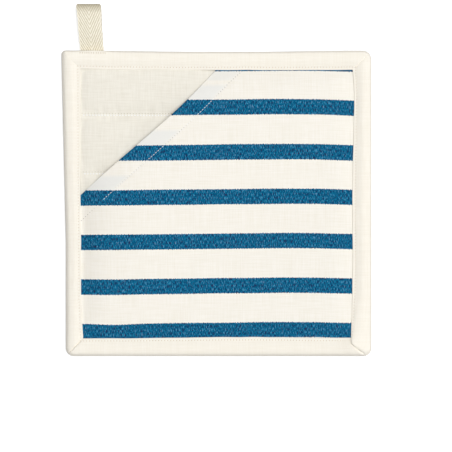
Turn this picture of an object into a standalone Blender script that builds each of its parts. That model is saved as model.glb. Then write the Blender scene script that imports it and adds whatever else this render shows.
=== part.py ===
"""Square padded pot holder with a hand pocket, an edge binding and a hanging loop.

The pot holder lies on its back: +Z is up out of the pocket side, +Y points to the loop's edge.
The origin is on the back face, at the middle of the pad. All sizes are in metres.
"""

import math

import bmesh
import bpy
from mathutils import Matrix, Vector

MM = 0.001

# Pad outline
PAD_WIDTH = 210 * MM
PAD_HEIGHT = 209 * MM
CORNER_RADIUS = 7 * MM
PULL_OUT = 3.1 * MM  # the loop has drawn its corner of the pad outwards by this much
PULL_UP = 1.0 * MM
PULL_REACH_SIDE = 130 * MM  # the pull fades out this far from the corner
PULL_REACH_END = 84 * MM

# Cloth, wadding and the room between layers that only touch
CLOTH = 0.4 * MM
GAP = 0.3 * MM
PAD_THICKNESS = 8 * MM
WADDING_AT_SEAM = 1 * MM
RAW_EDGE_INSET = 3.3 * MM  # the layers' raw edges end this far inside the binding's fold
SWELL_REACH = 16 * MM  # the pad reaches its full thickness this far inside the binding

# Quilting: rows of stitching across the pad, parallel to X
QUILT_FROM_EDGE = 43.5 * MM  # the first row, from the loop's edge of the pad
QUILT_PITCH = 40 * MM
QUILT_HALF_WIDTH = 14 * MM
QUILT_DEPTH_FRONT = 1.9 * MM
QUILT_DEPTH_BACK = 1.6 * MM

# Edge binding: one strip folded over the raw edges, its own edges turned under
BINDING_WIDTH = 12.4 * MM
BINDING_PLY = 0.35 * MM
BINDING_TURN_UNDER = 7.8 * MM
BINDING_FOLD_DEPTH = 3.2 * MM
MITRE_PUFF = 0.15 * MM  # how far the strip stands up beside a mitre's crease
MITRE_LAP = 0.4 * MM  # and on the side that laps over
MITRE_CREASE = 1.1 * MM  # half the crease's width
MITRE_REACH = 8 * MM

# Pocket panel: its free edge, the mouth, runs slantwise across the pad's loop corner
MOUTH_ALONG_END = 104 * MM  # where the mouth meets the binding, from the pad's corner
MOUTH_DOWN_SIDE = 97.9 * MM
MOUTH_SAG = 1.5 * MM
MOUTH_SAG_REACH = 40 * MM
HEM_WIDTH = 14 * MM
POCKET_SLACK = 0.15 * MM
POCKET_GAPE = 4.9 * MM  # how far the middle of the mouth stands off the pad
GAPE_SIDE_REACH = 45 * MM
GAPE_DEPTH = 125 * MM
STRIPES_FROM_EDGE = 33.1 * MM  # the first whole stripe, from the loop's edge of the pad
STRIPE_WIDTH = 10 * MM
STRIPE_PITCH = 30.6 * MM

# Hanging loop: a tape folded back on itself and sewn behind the binding
TAPE_WIDTH = 16 * MM
TAPE_PLY = 0.5 * MM
TAPE_END_INSET = 0.9 * MM  # the tape's ends stop this far short of the binding's inner edge
LOOP_FROM_SIDE = 20.2 * MM
LOOP_TILT = math.radians(4.3)
LOOP_REACH = 32 * MM
LOOP_THICKNESS = 6.8 * MM
LOOP_RISE = 14 * MM  # the upper ply comes up to its full height over this length

# Mesh grids
PANEL_CELL = 14 * MM
LEAST_CELL = 1.5 * MM
SAME_LINE = 0.2 * MM
STATION = 55 * MM
SAME_POINT = 0.001 * MM

# Where each layer lies at the binding, from the floor up
TAPE_TOP = 2 * TAPE_PLY + GAP
LIP = 2 * BINDING_PLY + GAP
BINDING_BOTTOM = TAPE_TOP + GAP
BACK_AT_SEAM = BINDING_BOTTOM + LIP + GAP
FRONT_AT_SEAM = BACK_AT_SEAM + 2 * CLOTH + 2 * GAP + WADDING_AT_SEAM
HEM_THICKNESS = 2 * CLOTH + GAP
HEM_CLEAR = HEM_THICKNESS + 3 * GAP
POCKET_AT_SEAM = FRONT_AT_SEAM + GAP + HEM_THICKNESS
POCKET_ON_PAD = PAD_THICKNESS + GAP + CLOTH + POCKET_SLACK
BINDING_TOP = POCKET_AT_SEAM + GAP + LIP

# Half sizes of the layers, of the window inside the binding and of the line where layers swell
PANEL_X = PAD_WIDTH / 2 - RAW_EDGE_INSET
PANEL_Y = PAD_HEIGHT / 2 - RAW_EDGE_INSET
INNER_X = PAD_WIDTH / 2 - BINDING_WIDTH
INNER_Y = PAD_HEIGHT / 2 - BINDING_WIDTH
SEAM_X = INNER_X - GAP
SEAM_Y = INNER_Y - GAP

# The mouth's line, from the side of the pad up to the loop's edge
MOUTH_START = Vector((-INNER_X, PAD_HEIGHT / 2 - MOUTH_DOWN_SIDE))
MOUTH_END = Vector((MOUTH_ALONG_END - PAD_WIDTH / 2, INNER_Y))
MOUTH_ALONG = (MOUTH_END - MOUTH_START).normalized()
MOUTH_INWARD = Vector((MOUTH_ALONG.y, -MOUTH_ALONG.x))
MOUTH_LENGTH = (MOUTH_END - MOUTH_START).length

CREAM = (0.94, 0.88, 0.79)
CANVAS = (0.88, 0.84, 0.75)
WHITE = (0.92, 0.88, 0.81)
BLUE = (0.013, 0.122, 0.246)
WADDING_GREY = (0.80, 0.78, 0.72)
TAPE_ECRU = (0.80, 0.76, 0.64)


def clear_scene():
    for obj in list(bpy.data.objects):
        bpy.data.objects.remove(obj, do_unlink=True)


def cloth_material(name, colour):
    material = bpy.data.materials.new(name)
    material.use_nodes = True
    shader = material.node_tree.nodes["Principled BSDF"]
    shader.inputs["Base Color"].default_value = (*colour, 1)
    shader.inputs["Roughness"].default_value = 0.9
    shader.inputs["Metallic"].default_value = 0.0
    material.diffuse_color = (*colour, 1)
    return material


def share(value, whole):
    """value as a share of whole, kept between 0 and 1."""
    return min(max(value / whole, 0.0), 1.0)


def rise(distance, reach):
    """0 at a seam and 1 from reach onwards, steep first and then level."""
    return 1 - (1 - share(distance, reach)) ** 2


def turns(start, end, count):
    """Evenly spaced angles from start to end, count steps."""
    return [start + (end - start) * step / count for step in range(count + 1)]


def swell(x, y, reach=SWELL_REACH):
    """How full the pad is at a point: 0 at the binding, 1 away from it."""
    return rise(SEAM_X - abs(x), reach) * rise(SEAM_Y - abs(y), reach)


def quilt_rows():
    """Y of each row of quilting that the binding leaves in sight."""
    rows = []
    y = PAD_HEIGHT / 2 - QUILT_FROM_EDGE
    while y > -INNER_Y + QUILT_HALF_WIDTH:
        rows.append(y)
        y -= QUILT_PITCH
    return rows


def groove(y):
    """1 on a row of quilting, 0 between the rows."""
    nearest = min(abs(y - row) for row in quilt_rows())
    return (1 - share(nearest, QUILT_HALF_WIDTH)) ** 2


def past_mouth(x, y):
    """Distance from the mouth's line, positive inside the pocket."""
    return (Vector((x, y)) - MOUTH_START).dot(MOUTH_INWARD)


def front_top(x, y):
    """Upper face of the front panel. Where the pocket is missing, it fills the binding by itself."""
    left_of_mouth = share(MOUTH_END.x - HEM_CLEAR - x, HEM_WIDTH)
    above_mouth = share(y - MOUTH_START.y - HEM_CLEAR, HEM_WIDTH)
    without_pocket = min(left_of_mouth, above_mouth)
    at_seam = FRONT_AT_SEAM + (POCKET_AT_SEAM - FRONT_AT_SEAM) * without_pocket
    full = swell(x, y)
    return at_seam + (PAD_THICKNESS - at_seam) * full - QUILT_DEPTH_FRONT * groove(y) * full


def front_bottom(x, y):
    return front_top(x, y) - CLOTH


def back_bottom(x, y):
    """Lower face of the back panel, which lies on the floor between the quilting rows."""
    full = swell(x, y)
    return BACK_AT_SEAM * (1 - full) + QUILT_DEPTH_BACK * groove(y) * full


def back_top(x, y):
    return back_bottom(x, y) + CLOTH


def wadding_bottom(x, y):
    return back_top(x, y) + GAP


def wadding_top(x, y):
    return front_bottom(x, y) - GAP


def pocket_top(x, y):
    """Upper face of the pocket panel, which stands off the pad at its mouth."""
    depth = share(past_mouth(x, y), GAPE_DEPTH)
    fade = 0.5 + 0.5 * math.cos(math.pi * depth)
    gape = POCKET_GAPE * fade * swell(x, y, GAPE_SIDE_REACH)
    return POCKET_AT_SEAM + (POCKET_ON_PAD - POCKET_AT_SEAM) * swell(x, y) + gape


def pulled(x, y):
    """Where a point of the square pad lies once the loop has drawn its corner outwards."""
    near_end = 1 - share(PAD_HEIGHT / 2 - y, PULL_REACH_SIDE)
    near_side = 1 - share(PAD_WIDTH / 2 + x, PULL_REACH_END)
    out = PULL_OUT * near_end * share(-x, PAD_WIDTH / 2) ** 2
    up = PULL_UP * near_side * share(y, PAD_HEIGHT / 2) ** 2
    return x - out, y + up


def add_object(name, bm, materials):
    """Turns the bmesh into an object with these materials."""
    bmesh.ops.recalc_face_normals(bm, faces=list(bm.faces))
    mesh = bpy.data.meshes.new(name)
    bm.to_mesh(mesh)
    bm.free()
    for material in materials:
        mesh.materials.append(material)
    mesh.shade_smooth()
    mesh.set_sharp_from_angle(angle=math.radians(40))
    obj = bpy.data.objects.new(name, mesh)
    collection.objects.link(obj)
    return obj


def add_pulled_object(name, bm, materials):
    """The same, with every point moved by the loop's pull on its corner."""
    for vert in bm.verts:
        vert.co.x, vert.co.y = pulled(vert.co.x, vert.co.y)
    return add_object(name, bm, materials)


def thicken(obj, thickness):
    """Gives an open sheet its thickness, to the inside of its outer face."""
    solidify = obj.modifiers.new("thickness", "SOLIDIFY")
    solidify.thickness = thickness
    solidify.offset = -1
    solidify.use_even_offset = True


def merged_lines(key_lines, fill_lines, least):
    """All key lines, and each fill line that is at least this far from every other line."""
    lines = []
    for line in sorted(key_lines):
        if not lines or line - lines[-1] > SAME_LINE:
            lines.append(line)
    first, last = lines[0], lines[-1]
    for line in fill_lines:
        if first < line < last and min(abs(line - other) for other in lines) >= least:
            lines.append(line)
    return sorted(lines)


def both_sides(lines):
    return [side * line for line in lines for side in (1, -1)]


def seam_lines(raw_edge, seam):
    """Key lines at the raw edges, at the seam and where the swell ends, and fill lines between."""
    key = [raw_edge, seam, seam - SWELL_REACH]
    fill = [seam - SWELL_REACH * part for part in (0.2, 0.5)]
    return both_sides(key), both_sides(fill)


def grid_surface(xs, ys):
    """A flat grid with a line at each of these places."""
    bm = bmesh.new()
    columns, rows = len(xs) - 1, len(ys) - 1
    made = bmesh.ops.create_grid(bm, x_segments=columns, y_segments=rows, size=1)
    for vert in made["verts"]:
        column = round((vert.co.x + 1) / 2 * columns)
        row = round((vert.co.y + 1) / 2 * rows)
        vert.co.x, vert.co.y = xs[column], ys[row]
    return bm


def quilted_layer(name, bottom, top, material):
    """A layer of the pad between two height functions, closed round its raw edges."""
    key_x, fill_x = seam_lines(PANEL_X, SEAM_X)
    key_y, fill_y = seam_lines(PANEL_Y, SEAM_Y)
    for row in quilt_rows():
        key_y.append(row)
        for part in (0.35, 1.0):
            fill_y += [row + part * QUILT_HALF_WIDTH, row - part * QUILT_HALF_WIDTH]
    key_x.append(MOUTH_END.x - HEM_CLEAR)
    key_y.append(MOUTH_START.y + HEM_CLEAR)
    fill_x.append(MOUTH_END.x - HEM_CLEAR - HEM_WIDTH)
    fill_y.append(MOUTH_START.y + HEM_CLEAR + HEM_WIDTH)
    xs = merged_lines(key_x, fill_x, LEAST_CELL)
    ys = merged_lines(key_y, fill_y, LEAST_CELL)
    bm = grid_surface(xs, ys)
    lower = list(bm.verts)
    upper = bmesh.ops.extrude_face_region(bm, geom=list(bm.faces))["geom"]
    for vert in (item for item in upper if isinstance(item, bmesh.types.BMVert)):
        vert.co.z = top(vert.co.x, vert.co.y)
    for vert in lower:
        vert.co.z = bottom(vert.co.x, vert.co.y)
    return add_pulled_object(name, bm, [material])


def stripe_edges():
    """Y of both edges of every woven stripe, the one under the binding included."""
    edges = []
    y = PAD_HEIGHT / 2 - STRIPES_FROM_EDGE + STRIPE_PITCH
    while y > -PANEL_Y:
        edges += [y, y - STRIPE_WIDTH]
        y -= STRIPE_PITCH
    return [edge for edge in edges if abs(edge) < PANEL_Y]


def is_blue(y):
    from_first = PAD_HEIGHT / 2 - STRIPES_FROM_EDGE - y
    return from_first % STRIPE_PITCH < STRIPE_WIDTH


def sagged(x, y):
    """The point moved into the pocket by the sag of its slack mouth."""
    along = (Vector((x, y)) - MOUTH_START).dot(MOUTH_ALONG)
    bow = 4 * share(along, MOUTH_LENGTH) * (1 - share(along, MOUTH_LENGTH))
    near = 1 - share(past_mouth(x, y), MOUTH_SAG_REACH)
    move = MOUTH_INWARD * MOUTH_SAG * bow * near
    return x + move.x, y + move.y


def cut_at_mouth(bm):
    """Cuts the cloth off at the mouth, and marks the hem's inner edge with edges of its own."""
    for inset in (0, HEM_WIDTH):
        bmesh.ops.bisect_plane(
            bm,
            geom=[*bm.verts, *bm.edges, *bm.faces],
            plane_co=(*(MOUTH_START + MOUTH_INWARD * inset), 0),
            plane_no=(*-MOUTH_INWARD, 0),
            clear_outer=inset == 0,
        )
    bmesh.ops.triangulate(bm, faces=list(bm.faces))


def turn_hem(bm):
    """Turns the cloth under along the mouth: a copy of the hem's width, joined by the fold."""
    band = [face for face in bm.faces if past_mouth(*face.calc_center_median().xy) < HEM_WIDTH]
    copied = bmesh.ops.duplicate(bm, geom=band)["geom"]
    rim = [
        edge
        for edge in bm.edges
        if edge.is_boundary
        and edge not in copied
        and all(abs(past_mouth(*vert.co.xy)) < SAME_POINT for vert in edge.verts)
    ]
    for vert in (item for item in copied if isinstance(item, bmesh.types.BMVert)):
        vert.co.z -= HEM_THICKNESS
    radius = HEM_THICKNESS / 2
    for angle in turns(0, math.pi, 4)[1:]:
        grown = bmesh.ops.extrude_edge_only(bm, edges=rim)["geom"]
        rim = [item for item in grown if isinstance(item, bmesh.types.BMEdge)]
        for vert in (item for item in grown if isinstance(item, bmesh.types.BMVert)):
            foot = vert.co.xy - MOUTH_INWARD * past_mouth(*vert.co.xy)
            vert.co.xy = foot - MOUTH_INWARD * radius * math.sin(angle)
            vert.co.z = pocket_top(*foot) - radius * (1 - math.cos(angle))
    bmesh.ops.remove_doubles(bm, verts=list(bm.verts), dist=SAME_POINT)


def pocket_panel():
    """One striped cloth over the pad, with its hem and its open mouth."""
    key_x, fill_x = seam_lines(PANEL_X, SEAM_X)
    key_y, fill_y = seam_lines(PANEL_Y, SEAM_Y)
    key_x.append(MOUTH_END.x)
    key_y += [MOUTH_START.y, *stripe_edges()]
    fill_x += both_sides([column * PANEL_CELL for column in range(int(SEAM_X / PANEL_CELL) + 1)])
    fill_y += [edge + (STRIPE_WIDTH + STRIPE_PITCH) / 2 for edge in stripe_edges()]
    xs = merged_lines(key_x, fill_x, 2 * LEAST_CELL)
    ys = merged_lines(key_y, fill_y, 2 * LEAST_CELL)
    bm = grid_surface(xs, ys)
    cut_at_mouth(bm)
    for face in bm.faces:
        face.material_index = int(is_blue(face.calc_center_median().y))
    for vert in bm.verts:
        vert.co.z = pocket_top(vert.co.x, vert.co.y)
    turn_hem(bm)
    for vert in bm.verts:
        vert.co.x, vert.co.y = sagged(vert.co.x, vert.co.y)
    materials = [cloth_material("white_cloth", WHITE), cloth_material("blue_stripe", BLUE)]
    panel = add_pulled_object("pocket_panel", bm, materials)
    thicken(panel, CLOTH)


def binding_profile():
    """The strip's outer face across its width, as (distance in from the pad's edge, height)."""
    lip_radius = LIP / 2
    lip_end = BINDING_WIDTH - lip_radius
    middle = (BINDING_BOTTOM + BINDING_TOP) / 2
    half = (BINDING_TOP - BINDING_BOTTOM) / 2
    upper = [(BINDING_WIDTH - BINDING_TURN_UNDER, BINDING_TOP - LIP)]
    for angle in turns(-math.pi / 2, math.pi / 2, 3):
        inset = lip_end + lip_radius * math.cos(angle)
        upper.append((inset, BINDING_TOP + lip_radius * (math.sin(angle) - 1)))
    upper.append((CORNER_RADIUS, BINDING_TOP))
    for angle in turns(math.pi / 2, 0, 4)[:-1]:
        inset = BINDING_FOLD_DEPTH * (1 - math.cos(angle))
        upper.append((inset, middle + half * math.sin(angle)))
    lower = [(inset, 2 * middle - height) for inset, height in reversed(upper)]
    return upper + [(0, middle)] + lower


def binding_stations():
    """Places round the pad where the strip's profile stands, anticlockwise from +X.

    Each is (quarter turn, angle in the corner's arc, None) or, on a straight side,
    (quarter turn, distance past one corner, distance short of the next).
    """
    stations = []
    for quarter in range(4):
        stations += [(quarter, angle, None) for angle in turns(0, math.pi / 2, 4)]
        stations += [(quarter, past, 0) for past in (MITRE_CREASE, MITRE_REACH, STATION)]
        stations += [(quarter, 0, short) for short in (STATION, MITRE_REACH, MITRE_CREASE)]
    return stations


def station_point(station, inset):
    """XY of a point of the strip at this station, inset from the pad's edge, and its lift."""
    quarter, where, short = station
    halves = (PAD_WIDTH / 2, PAD_HEIGHT / 2)
    along, across = halves if quarter % 2 == 0 else halves[::-1]
    radius = max(CORNER_RADIUS - inset, 0)
    corner = Vector((along - inset - radius, across - inset - radius))
    if short is None:
        point = corner + radius * Vector((math.cos(where), math.sin(where)))
    elif where:
        point = Vector((corner.x - where, across - inset))
    else:
        point = Vector((-corner.x + short, across - inset))
    past_this = along - across - (point.x - point.y)
    short_of_next = along - across + point.x + point.y
    from_mitre = min(abs(past_this), abs(short_of_next))
    lift = MITRE_LAP if 0 < past_this < short_of_next else MITRE_PUFF
    lift *= share(from_mitre, MITRE_CREASE) - share(from_mitre, MITRE_REACH)
    return Matrix.Rotation(quarter * math.pi / 2, 2) @ point, lift


def edge_binding():
    """The strip swept round the pad, creased and lapped at each corner's mitre."""
    profile = binding_profile()
    lip_middle = BINDING_TOP - LIP / 2
    bm = bmesh.new()
    rings = []
    for station in binding_stations():
        ring = []
        for inset, height in profile:
            point, lift = station_point(station, inset)
            lift *= share(height - lip_middle, LIP / 2)
            ring.append(bm.verts.new((*point, height + lift)))
        rings.append(ring)
    for ring, following in zip(rings, rings[1:] + rings[:1]):
        for index in range(len(profile) - 1):
            corners = (ring[index], following[index], following[index + 1], ring[index + 1])
            bm.faces.new(corners)
    bmesh.ops.remove_doubles(bm, verts=list(bm.verts), dist=SAME_POINT)
    material = cloth_material("binding_canvas", CREAM)
    binding = add_pulled_object("edge_binding", bm, [material])
    thicken(binding, BINDING_PLY)


def loop_profile():
    """The tape's outer face along its length, as (distance out from the pad's edge, height)."""
    tail = TAPE_END_INSET - BINDING_WIDTH
    fold_radius = LOOP_THICKNESS / 2
    fold = LOOP_REACH - fold_radius
    points = [(tail, 0), (0, 0), (fold / 2, 0), (fold, 0)]
    for angle in turns(-math.pi / 2, math.pi / 2, 10)[1:]:
        out = fold + fold_radius * math.cos(angle)
        points.append((out, fold_radius * (1 + math.sin(angle))))
    for part in (1.0, 0.8, 0.6, 0.45, 0.3, 0.15, 0.0):
        height = TAPE_TOP + (LOOP_THICKNESS - TAPE_TOP) * rise(part, 1)
        points.append((LOOP_RISE * part, height))
    return points + [(tail, TAPE_TOP)]


def hanging_loop():
    """The tape, with both tails behind the binding and its fold standing past the pad's edge."""
    bm = bmesh.new()
    path = [bm.verts.new((-TAPE_WIDTH / 2, out, height)) for out, height in loop_profile()]
    edges = [bm.edges.new(pair) for pair in zip(path, path[1:])]
    strip = bmesh.ops.extrude_edge_only(bm, edges=edges)["geom"]
    for vert in (item for item in strip if isinstance(item, bmesh.types.BMVert)):
        vert.co.x += TAPE_WIDTH
    loop = add_object("hanging_loop", bm, [cloth_material("twill_tape", TAPE_ECRU)])
    base_x, base_y = pulled(LOOP_FROM_SIDE - PAD_WIDTH / 2, PAD_HEIGHT / 2)
    loop.location = (base_x, base_y, 0)
    loop.rotation_euler = (0, 0, LOOP_TILT)
    thicken(loop, TAPE_PLY)


clear_scene()
collection = bpy.data.collections.new("pot_holder")
bpy.context.scene.collection.children.link(collection)

canvas = cloth_material("pad_canvas", CANVAS)
quilted_layer("back_panel", back_bottom, back_top, canvas)
quilted_layer(
    "wadding", wadding_bottom, wadding_top, cloth_material("wadding_felt", WADDING_GREY)
)
quilted_layer("front_panel", front_bottom, front_top, canvas)
pocket_panel()
edge_binding()
hanging_loop()
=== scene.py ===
import math

import bmesh
import bpy
import numpy as np
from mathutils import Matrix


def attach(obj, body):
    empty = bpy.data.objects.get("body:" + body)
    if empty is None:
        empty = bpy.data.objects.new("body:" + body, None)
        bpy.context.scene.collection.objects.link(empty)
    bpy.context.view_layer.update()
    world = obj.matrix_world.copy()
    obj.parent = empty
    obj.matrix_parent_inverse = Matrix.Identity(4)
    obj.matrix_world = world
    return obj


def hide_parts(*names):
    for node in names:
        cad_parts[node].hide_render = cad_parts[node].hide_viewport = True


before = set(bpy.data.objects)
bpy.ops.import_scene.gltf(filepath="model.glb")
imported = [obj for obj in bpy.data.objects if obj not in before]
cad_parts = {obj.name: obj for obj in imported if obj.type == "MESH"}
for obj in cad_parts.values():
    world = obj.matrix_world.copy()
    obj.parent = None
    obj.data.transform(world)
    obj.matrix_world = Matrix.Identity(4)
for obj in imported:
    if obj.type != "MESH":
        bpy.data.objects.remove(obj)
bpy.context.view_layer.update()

mm = 0.001
print("frame loaded")


# Sizes of the pad that every layer follows, in mm, as in the CAD source
padValues = {
    "width": 210,
    "height": 209,
    "cornerRadii": (6, 3, 5.5, 5.5),  # anticlockwise from the top right
    "pullOut": 3.1,
    "pullUp": 1.0,
    "liftRight": 0.8,  # mm that the edge stands up at its top right corner
    "pullReachSide": 130,
    "pullReachEnd": 84,
    "bindingWidth": 12.4,
    "rawEdge": 101,
    "seamX": 92.3,
    "seamY": 91.8,
    "swellReach": 16,
    "thickness": 8,
    "cloth": 0.4,
    "quiltRows": (61, 21, -19, -59),
    "quiltHalfWidth": 14,
    "quiltDepthFront": 1.9,
    "quiltDepthBack": 1.6,
    "backAtSeam": 2.9,
    "frontAtSeam": 5.3,
    "pocketAtSeam": 6.7,
}

# The pocket's mouth, as a line from the pad's left side up to its top
mouthStart = np.array((-92.6, 6.6))
mouthEnd = np.array((-1.0, 92.1))
mouthLength = np.linalg.norm(mouthEnd - mouthStart)
mouthAlong = (mouthEnd - mouthStart) / mouthLength
mouthInward = np.array((mouthAlong[1], -mouthAlong[0]))


def share(value, whole):
    return np.clip(value / whole, 0, 1)


def rise(distance, reach):
    return 1 - (1 - share(distance, reach)) ** 2


def bell(distance, width):
    return np.exp(-((distance / width) ** 2))


# How full the pad is: 0 at the binding, 1 away from it
def swell(x, y, reach):
    fromSide = rise(padValues["seamX"] - np.abs(x), reach)
    return fromSide * rise(padValues["seamY"] - np.abs(y), reach)


# 1 on a row of quilting, 0 between the rows
def groove(y):
    nearest = np.min([np.abs(y - row) for row in padValues["quiltRows"]], axis=0)
    return (1 - share(nearest, padValues["quiltHalfWidth"])) ** 2


def pastMouth(x, y):
    return (x - mouthStart[0]) * mouthInward[0] + (y - mouthStart[1]) * mouthInward[1]


def alongMouth(x, y):
    return (x - mouthStart[0]) * mouthAlong[0] + (y - mouthStart[1]) * mouthAlong[1]


# Gentle uneven waves of about this length, the same on every run
def ripple(x, y, length, seed):
    dice = np.random.default_rng(seed)
    total = 0
    for turn in range(7):
        angle, phase = dice.uniform(0, 2 * math.pi, 2)
        wave = 2 * math.pi / (length * dice.uniform(0.7, 1.6))
        total = total + np.sin(wave * (x * math.cos(angle) + y * math.sin(angle)) + phase)
    return total / 7


# The loop has drawn its corner of the pad outwards
def pulled(x, y):
    halfWidth, halfHeight = padValues["width"] / 2, padValues["height"] / 2
    nearEnd = 1 - share(halfHeight - y, padValues["pullReachSide"])
    nearSide = 1 - share(halfWidth + x, padValues["pullReachEnd"])
    out = padValues["pullOut"] * nearEnd * share(-x, halfWidth) ** 2
    up = padValues["pullUp"] * nearSide * share(y, halfHeight) ** 2
    lifted = padValues["liftRight"] * share(x - 30, 60) * share(y - 90, 14) ** 2
    return x - out, y + up + lifted


def frontTop(x, y):
    leftOfMouth = share(mouthEnd[0] - 2 - x, 14)
    aboveMouth = share(y - mouthStart[1] - 2, 14)
    withoutPocket = np.minimum(leftOfMouth, aboveMouth)
    rim = padValues["pocketAtSeam"] - padValues["frontAtSeam"]
    atSeam = padValues["frontAtSeam"] + rim * withoutPocket
    full = swell(x, y, padValues["swellReach"])
    raised = (padValues["thickness"] - atSeam) * full
    return atSeam + raised - padValues["quiltDepthFront"] * groove(y) * full


def backBottom(x, y):
    full = swell(x, y, padValues["swellReach"])
    return padValues["backAtSeam"] * (1 - full) + padValues["quiltDepthBack"] * groove(y) * full


# Grids of points (rows, columns, 3) in mm as one mesh, which also keeps each point's place in its
# cloth
def gridMesh(patches):
    made = bmesh.new()
    kept = made.verts.layers.float_vector.new("clothPlace")
    for points, places in patches:
        rows, columns = points.shape[:2]
        grid = []
        for row in range(rows):
            line = []
            for column in range(columns):
                vert = made.verts.new(points[row, column] * mm)
                vert[kept] = places[row, column]
                line.append(vert)
            grid.append(line)
        for row in range(rows - 1):
            for column in range(columns - 1):
                made.faces.new(
                    (grid[row][column], grid[row][column + 1],
                     grid[row + 1][column + 1], grid[row + 1][column])
                )
    return made


def addPiece(name, made, material):
    mesh = bpy.data.meshes.new(name)
    made.to_mesh(mesh)
    made.free()
    mesh.materials.append(material)
    mesh.shade_smooth()
    piece = bpy.data.objects.new(name, mesh)
    bpy.context.scene.collection.objects.link(piece)
    return piece


# Applies the piece's modifiers to its mesh
def bake(piece):
    bpy.context.view_layer.update()
    shaped = piece.evaluated_get(bpy.context.evaluated_depsgraph_get())
    mesh = bpy.data.meshes.new_from_object(shaped)
    mesh.name = piece.name
    piece.modifiers.clear()
    piece.data = mesh
    mesh.shade_smooth()


def thicken(piece, thickness, evenOffset=True):
    solid = piece.modifiers.new("thickness", "SOLIDIFY")
    solid.thickness = thickness * mm
    solid.offset = -1
    solid.use_even_offset = evenOffset
    bake(piece)
    piece.data.set_sharp_from_angle(angle=math.radians(50))
    points = readPoints(piece.data)
    print(piece.name, len(piece.data.polygons), "faces, from", np.round(points.min(axis=0), 2).tolist(),
          "to", np.round(points.max(axis=0), 2).tolist())


def readPoints(mesh):
    flat = np.zeros(len(mesh.vertices) * 3)
    mesh.vertices.foreach_get("co", flat)
    return flat.reshape(-1, 3) / mm


def readPlaces(mesh):
    flat = np.zeros(len(mesh.vertices) * 3)
    mesh.attributes["clothPlace"].data.foreach_get("vector", flat)
    return flat.reshape(-1, 3)


# Joins the patches of one cloth where they meet, and turns their faces outwards
def sewTogether(made):
    bmesh.ops.remove_doubles(made, verts=list(made.verts), dist=0.001 * mm)
    bmesh.ops.recalc_face_normals(made, faces=list(made.faces))


# The piece takes the place of its solid, which is hidden
def standIn(node, stage):
    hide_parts(node)
    print(stage)


def linear(hexColour):
    def channel(value):
        return value / 12.92 if value <= 0.04045 else ((value + 0.055) / 1.055) ** 2.4
    return (*(channel(int(hexColour[at:at + 2], 16) / 255) for at in (1, 3, 5)), 1)


# Adds a node with its settings, and values or links for its inputs, and gives its outputs
def addNode(tree, kind, inputs, **settings):
    node = tree.nodes.new("ShaderNode" + kind)
    for setting, value in settings.items():
        setattr(node, setting, value)
    for socket, value in inputs.items():
        if isinstance(value, bpy.types.NodeSocket):
            tree.links.new(value, node.inputs[socket])
        else:
            node.inputs[socket].default_value = value
    return node.outputs


fleckValues = {"spacing": 52, "radius": 0.42, "hull": "#A08E70"}


# A fabric: its roughness and sheen, and the sockets that its own nodes fill
def fabricMaterial(name, roughness, sheen, sheenRoughness):
    material = bpy.data.materials.new(name)
    material.use_nodes = True
    tree = material.node_tree
    shader = tree.nodes["Principled BSDF"]
    shader.inputs["Roughness"].default_value = roughness
    shader.inputs["IOR"].default_value = 1.53  # cotton is cellulose
    shader.inputs["Specular IOR Level"].default_value = 0.3
    shader.inputs["Sheen Weight"].default_value = sheen
    shader.inputs["Sheen Roughness"].default_value = sheenRoughness
    place = addNode(tree, "Attribute", {}, attribute_name="clothPlace")["Vector"]
    return material, tree, shader, place


# Plain weave: a dome where a yarn passes over, long in that yarn's direction
def weaveNodes(tree, place, yarn, uneven):
    drift = addNode(tree, "TexNoise", {"Vector": place, "Scale": 0.45, "Detail": 3.0})["Color"]
    spread = (uneven, uneven, 0)
    moved = addNode(tree, "VectorMath", {0: drift, 1: spread, 2: place}, operation="MULTIPLY_ADD")[0]
    turns = (math.pi / yarn, math.pi / yarn, 0)
    turned = addNode(tree, "VectorMath", {0: moved, 1: turns}, operation="MULTIPLY")[0]
    waves = addNode(tree, "VectorMath", {0: turned}, operation="SINE")[0]
    signed = addNode(tree, "SeparateXYZ", {0: waves})
    crossing = addNode(tree, "Math", {0: signed[0], 1: signed[1]}, operation="MULTIPLY")[0]
    over = addNode(tree, "Math", {0: crossing, 1: 0.0}, operation="GREATER_THAN")[0]
    sized = addNode(tree, "VectorMath", {0: waves}, operation="ABSOLUTE")[0]
    domes = addNode(tree, "SeparateXYZ", {0: sized})
    longX = addNode(tree, "Math", {0: domes[0], 1: 0.35}, operation="POWER")[0]
    longY = addNode(tree, "Math", {0: domes[1], 1: 0.35}, operation="POWER")[0]
    warp = addNode(tree, "Math", {0: domes[0], 1: longY}, operation="MULTIPLY")[0]
    weft = addNode(tree, "Math", {0: longX, 1: domes[1]}, operation="MULTIPLY")[0]
    height = addNode(tree, "Mix", {0: over, 2: weft, 3: warp}, data_type="FLOAT")[0]
    return height


# Thicker and thinner yarns: noise drawn out along the cloth's length and its width, and the cloth's
# colour, which it moves between two tones
def slubNodes(tree, place, width, length, dark, light):
    streaks = []
    for stretch in ((1 / width, 1 / length, 0), (1 / length, 1 / width, 0)):
        drawn = addNode(tree, "VectorMath", {0: place, 1: stretch}, operation="MULTIPLY")[0]
        streaks.append(
            addNode(tree, "TexNoise", {"Vector": drawn, "Scale": 1.0, "Detail": 3.0})["Fac"]
        )
    slubs = addNode(tree, "Math", {0: streaks[0], 1: streaks[1]}, operation="ADD")[0]
    factor = addNode(tree, "MapRange", {0: slubs, 1: 0.7, 2: 1.3})[0]
    tones = {0: factor, 6: linear(dark), 7: linear(light)}
    return slubs, addNode(tree, "Mix", tones, data_type="RGBA")[2]


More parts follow.
